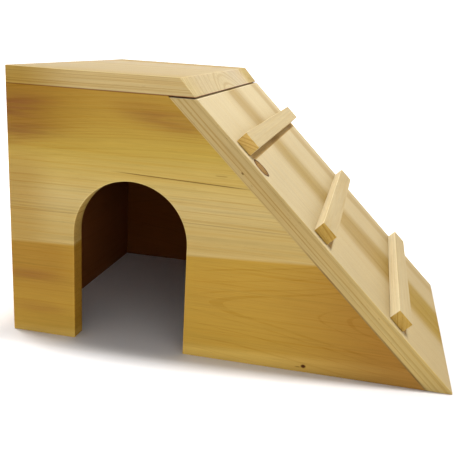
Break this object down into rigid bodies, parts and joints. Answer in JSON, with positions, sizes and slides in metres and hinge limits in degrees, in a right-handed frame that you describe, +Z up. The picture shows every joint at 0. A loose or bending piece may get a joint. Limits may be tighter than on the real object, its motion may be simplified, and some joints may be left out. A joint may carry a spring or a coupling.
{
  "type": "rabbit hideaway",
  "caption": "Wooden rabbit hideaway: a closed cabin with an arched doorway and a flat roof, reached by a sloping ramp with cross cleats.",
  "frame": {"origin": "on the floor, under the middle of the whole object's box", "axes": "+X along the front from the cabin to the foot of the ramp, +Y from the doorway side to the back, +Z up"},
  "size_m": [0.4592, 0.311, 0.2785],
  "materials": {
    "panel_wood": "sanded golden poplar, clear satin",
    "side_wood": "sanded golden poplar, clear satin",
    "roof_wood": "sanded pale poplar, clear satin",
    "ramp_wood": "sanded pale poplar, clear satin",
    "cleat_wood": "sanded pale poplar, clear satin",
    "dowel_wood": "plain beech",
    "screw_steel": "zinc plated"
  },
  "bodies": {
    "root": {"front_upper_board": "panel_wood", "front_lower_left_board": "panel_wood", "front_lower_right_board": "panel_wood", "back_upper_board": "panel_wood", "back_lower_board": "panel_wood", "side_upper_board": "side_wood", "side_lower_board": "side_wood", "roof_front_board": "roof_wood", "roof_back_board": "roof_wood", "ramp_front_board": "ramp_wood", "ramp_back_board": "ramp_wood", "upper_cleat": "cleat_wood", "middle_cleat": "cleat_wood", "lower_cleat": "cleat_wood", "roof_dowels": "dowel_wood", "corner_dowels": "dowel_wood", "ramp_dowels": "dowel_wood", "cleat_screws": "screw_steel"}
  },
  "joints": []
}
